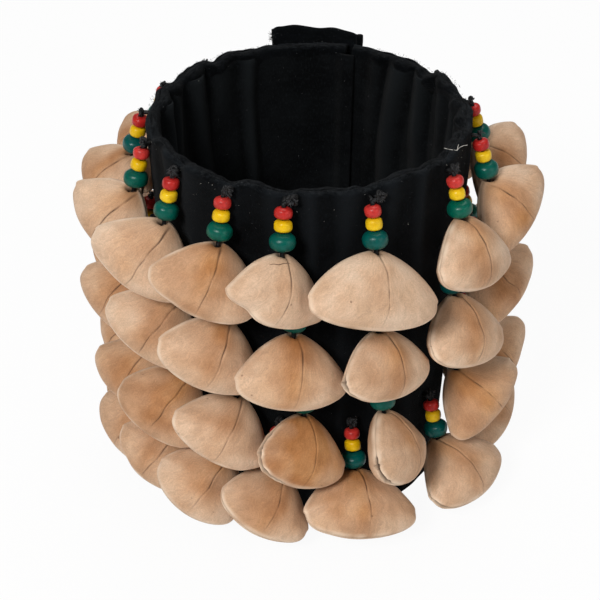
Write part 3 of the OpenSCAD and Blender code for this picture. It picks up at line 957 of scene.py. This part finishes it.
def bottom_hem():
    """Turned edge that the cuff stands on: flat below, with rounded edges."""
    b = np.linspace(STRIP_FROM, STRIP_TO, 600)
    outside = 0.42 + 0.12 * ripples(b / 3, 0 * b, 4, 81)
    inside = LINING_IN - 0.55 - 0.12 * ripples(b / 3, 0 * b, 4, 82) - 1.5 * folds(b, 0 * b, *LINING_FOLDS)
    corner, r, high = np.radians(np.linspace(0, 90, 6)), 0.7, HEM_H + 0.3
    sin_r, cos_r = r * np.sin(corner), r * np.cos(corner)
    left, right = inside[:, None] + r, outside[:, None] - r
    off = np.concatenate([right + sin_r, right + cos_r, left - sin_r, left - cos_r], 1)
    z = 0 * off + np.concatenate([r - cos_r, high - r + sin_r, high - r + cos_r, r - sin_r])
    bb = b[:, None] + 0 * off
    local = np.stack([bb / DEG_PER_MM, z + off, off], -1)
    soup = Soup()
    add_ring(soup, place(bb, off, z), local)
    obj = soup.piece("turned_hem", outer_look, "outer_cotton", "cuff")
    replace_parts(obj, "bottom_hem")
    return obj


# Closure

def flap_top(b, z):
    """Heights on the flap, drawn up towards the end that opens, as its top edge slopes."""
    slope = 1.1 * (b - FLAP_MID) / (FLAP_SPAN / 2) + 0.25 * ripples(b / 2, 0 * b, 5, 94)
    corner = 1.4 * bump(b - FLAP_TO, 1.4) + 1.2 * bump(b - FLAP_FROM, 2.5)
    return z + (slope - corner) * ease(FLAP_HIGH - 20, FLAP_HIGH, z)


def closure_flap():
    """End of the strip that overlaps at the back: doubled cloth with a rolled fold where it is sewn on."""
    b = np.linspace(FLAP_FROM + 1, FLAP_TO, 90)
    low, high = np.linspace(FLAP_LOW, FLAP_HIGH - 5, 130), np.linspace(FLAP_HIGH - 4.8, FLAP_HIGH, 26)
    b, z = np.meshgrid(b, np.concatenate([low, high]), indexing="ij")
    uneven = 0.16 * ripples(b / 2, z / 6, 4, 91)
    edge = np.minimum((FLAP_TO - b) * 0.9, np.minimum(z - FLAP_LOW, FLAP_HIGH - z))
    puff = FLAP_T / 2 * np.sqrt(np.clip(1 - (1 - np.clip(edge / 0.9, 0, 1)) ** 2, 0.05, 1))
    puff = puff + 0.3 * bump(FLAP_HIGH - 1.2 - z, 1.2)
    quilt = 0.2 * bump(edge - 2.6, 0.7)
    ragged = z + 0.4 * ripples(b / 2, 0 * z, 3, 92)
    turned = 0.5 * ease(122, 124, z) * (1 - ease(131.2, 131.6, ragged))
    middle = FLAP_IN + FLAP_T / 2
    soup = sheet(b, flap_top(b, z), middle + puff - quilt + uneven, middle - puff + 0.02 - turned)
    obj = soup.piece("doubled_flap", outer_look, "outer_cotton", "flap")
    roll = Soup()
    heights = np.linspace(FLAP_LOW, FLAP_HIGH - 1.2, 120)
    path = place(FLAP_FROM, ROLL_OUT, heights)
    add_tube(roll, path, ROLL_R + 0.06 * lumps(heights[:, None] / 3, 3, 93), 16)
    roll_obj = roll.piece("rolled_fold", outer_look, "outer_cotton", "flap")
    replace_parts(obj, "closure_flap")
    return obj, roll_obj


def add_hair(soup, rng, start, way, length, radius, curl):
    """One loose thread from a point, bent to one side."""
    way = way / np.linalg.norm(way)
    bend = np.cross(way, rng.normal(size=3))
    s = np.linspace(0, 1, 5)[:, None]
    path = start + s * length * way + s ** 2 * length * curl * bend
    add_tube(soup, path, np.linspace(radius, radius * 0.5, 5), 4)


def flap_fray():
    """Frayed threads at the flap's free top corner."""
    rng = np.random.default_rng(97)
    soup = Soup()
    for _ in range(40):
        b, z = FLAP_TO - rng.uniform(-0.2, 1.5), FLAP_HIGH - rng.uniform(1.5, 4)
        start = place(b, FLAP_IN + rng.uniform(0, 1.2), z)
        way = rng.uniform(0.3, 1) * np.array([cosd(b), sind(b), 0]) + rng.normal(0, 0.5, 3)
        add_hair(soup, rng, start, way, rng.uniform(0.8, 2.4), 0.09, 0.5)
    return soup.piece("flap_fray", fuzz_look, "outer_cotton", "flap")


def lint():
    """Pale specks of lint caught on the cloth, most of them near the rim."""
    rng = np.random.default_rng(99)
    soup = Soup()
    for _ in range(70):
        b, inside = rng.uniform(STRIP_FROM, STRIP_TO), rng.random() < 0.15
        z = CUFF_H - rng.gamma(1.5, 5)
        if inside:
            off = LINING_IN + 0.35 - lining_depth(b, z)
        else:
            off = 0.05 - 0.5 * folds(b, z, *OUTER_FOLDS)
        add_hair(soup, rng, place(b, off, z), rng.normal(size=3), rng.uniform(0.1, 0.35), 0.045, 0.5)
    return soup.piece("lint", thread_look, "outer_cotton", "cuff")


def loose_thread():
    """Pale end of thread on the right of the rim."""
    rng = np.random.default_rng(98)
    soup = Soup()
    start = place(61, -0.6, 129.8)
    ends = ((0.3, 0.3, 0.9), 2.8, 0.6), ((-0.7, -0.5, 0.2), 3.6, 0.5), ((0.1, 0.6, 0.7), 2.0, -0.7)
    for way, length, curl in ends:
        add_hair(soup, rng, start, np.array(way), length, 0.16, curl)
    return soup.piece("loose_thread", thread_look, "outer_cotton", "cuff")


def stitches():
    """Rows of thread round the flap's border and beside its root."""
    soup = Soup()
    inset, root, pitch, stitch = 2.6, 4, 3, 2.1
    outside = FLAP_IN + FLAP_T - 0.18
    rows = []
    low, high = FLAP_LOW + inset, FLAP_HIGH - inset
    for bearing in (FLAP_FROM + root * DEG_PER_MM, FLAP_TO - inset * DEG_PER_MM):
        rows += [((bearing, z), (bearing, z + stitch)) for z in np.arange(low, high - 2, pitch)]
    for z in (low, high):
        for s in np.arange(root, FLAP_SPAN / DEG_PER_MM - 5, pitch):
            rows.append(((FLAP_FROM + s * DEG_PER_MM, z), (FLAP_FROM + (s + stitch) * DEG_PER_MM, z)))
    for (b0, z0), (b1, z1) in rows:
        s = np.linspace(0, 1, 7)
        arc = 0.26 * np.sin(math.pi * s)
        path = place(b0 + (b1 - b0) * s, outside + arc, z0 + (z1 - z0) * s)
        add_tube(soup, path, 0.17, 6)
    return soup.piece("flap_stitches", cord_look, "cord", "flap")


def tape(node, look, slot, body, low_off, b_from, b_to, seed):
    """Fastener tape: a thin woven band with a rough face and bound edges."""
    b, z = strip_grid(TAPE_LOW, TAPE_HIGH, 60, 200, b_from, b_to)
    edge = np.minimum(np.minimum(b - b_from, b_to - b) * 0.9, np.minimum(z - TAPE_LOW, TAPE_HIGH - z))
    rough = 0.09 * ripples(b * 0.9, z, 1.3, seed) * ease(0.8, 1.6, edge)
    outer = low_off + TAPE_T - 0.12 + (rough if body == "cuff" else 0 * rough)
    inner = low_off + 0.03 + (0 * rough if body == "cuff" else 0.1 + rough)
    soup = sheet(b, z, outer, inner)
    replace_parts(soup.piece(node + "_band", look, slot, body), node)


# Build every piece

for strand in strands:
    shell_piece(strand)
painted_crack_shade()
bead_piece("red_beads", red_look, "red_paint", RED_AT, SMALL_BEAD, 1000, 2.9)
bead_piece("yellow_beads", yellow_look, "yellow_paint", YELLOW_AT, SMALL_BEAD, 2000, 3.2)
bead_piece("green_beads", green_look, "green_paint", GREEN_AT, LARGE_BEAD, 3000, 2.5)
cord_piece()
outer = outer_cloth()
lining = lining_cloth()
interlining()
rim = top_hem()
fuzz = rim_fuzz()
hem = bottom_hem()
flap, fold = closure_flap()
thread = stitches()
fray = flap_fray()
loose = loose_thread()
specks = lint()
tape("hook_tape", hook_look, "hook_tape", "flap", FLAP_IN - TAPE_T, FLAP_FROM + 6, FLAP_TO - 2, 95)
tape("loop_tape", loop_look, "loop_tape", "cuff", 0, FLAP_FROM + 6, FLAP_TO + 2, 96)


# Stage, light and camera

def stage_material():
    """Pale floor: nearly white to the camera, with the object's soft shadow kept."""
    n = Nodes("floor", 0.9, 0.1)
    n.shader.inputs["Base Color"].default_value = (0.85, 0.85, 0.85, 1)
    path = n.make("LightPath")
    seen = n.math("ADD", path.outputs["Is Camera Ray"], path.outputs["Is Glossy Ray"], True)
    seen = n.math("ADD", seen, path.outputs["Is Transmission Ray"], True)
    glow = n.make("Emission", {"Color": (1, 1, 1, 1), "Strength": 1.0})
    share = n.math("MULTIPLY", seen, 0.94)
    mix = n.make("MixShader", {0: share, 1: n.shader.outputs[0], 2: glow.outputs[0]})
    n.put(n.tree.nodes["Material Output"].inputs["Surface"], mix.outputs[0])
    return n.material


def floor():
    """Wide square just under the cuff."""
    mesh = bpy.data.meshes.new("floor")
    signs = (-1, -1), (1, -1), (1, 1), (-1, 1)
    corners = [(x * FLOOR_HALF_M, y * FLOOR_HALF_M, FLOOR_Z_M) for x, y in signs]
    mesh.from_pydata(corners, [], [(0, 1, 2, 3)])
    mesh.materials.append(stage_material())
    obj = bpy.data.objects.new("floor", mesh)
    bpy.context.scene.collection.objects.link(obj)


def lamp(name, place_m, size, watts):
    """Round lamp aimed at the middle of the cuff."""
    light = bpy.data.lights.new(name, "AREA")
    light.shape = "DISK"
    light.size = size
    light.energy = watts
    obj = bpy.data.objects.new(name, light)
    obj.location = place_m
    obj.rotation_euler = (Vector(AIM_M) - Vector(place_m)).to_track_quat("-Z", "Y").to_euler()
    bpy.context.scene.collection.objects.link(obj)


def world():
    """Even pale surroundings, and colours shown as they are."""
    scene = bpy.context.scene
    scene.world = bpy.data.worlds.new("studio")
    scene.world.use_nodes = True
    sky = scene.world.node_tree.nodes["Background"]
    sky.inputs["Color"].default_value = (1, 1, 1, 1)
    sky.inputs["Strength"].default_value = 0.2
    scene.view_settings.view_transform = "Standard"


def camera():
    """Camera of the photograph: fitted to the rim's ellipse and to the rows of beads."""
    data = bpy.data.cameras.new("camera")
    data.sensor_width = 36
    data.lens = data.sensor_width * FOCAL_PX / IMAGE_PX
    data.shift_x = (IMAGE_PX / 2 - AIM_PX[0]) / IMAGE_PX
    data.shift_y = (AIM_PX[1] - IMAGE_PX / 2) / IMAGE_PX
    obj = bpy.data.objects.new("camera", data)
    back = Vector((0, -float(cosd(CAMERA_ELEVATION)), float(sind(CAMERA_ELEVATION))))
    obj.location = Vector(AIM_M) + CAMERA_FAR_M * back
    obj.rotation_euler = (math.radians(90 - CAMERA_ELEVATION), 0, 0)
    bpy.context.scene.collection.objects.link(obj)
    bpy.context.scene.camera = obj


floor()
world()
lamp("key", (-0.5, -1.05, 1.0), size=0.42, watts=16)
lamp("fill", (0.9, -0.8, 0.6), size=0.9, watts=3.4)
lamp("top", (0.1, 0.5, 1.2), size=0.8, watts=5)
camera()
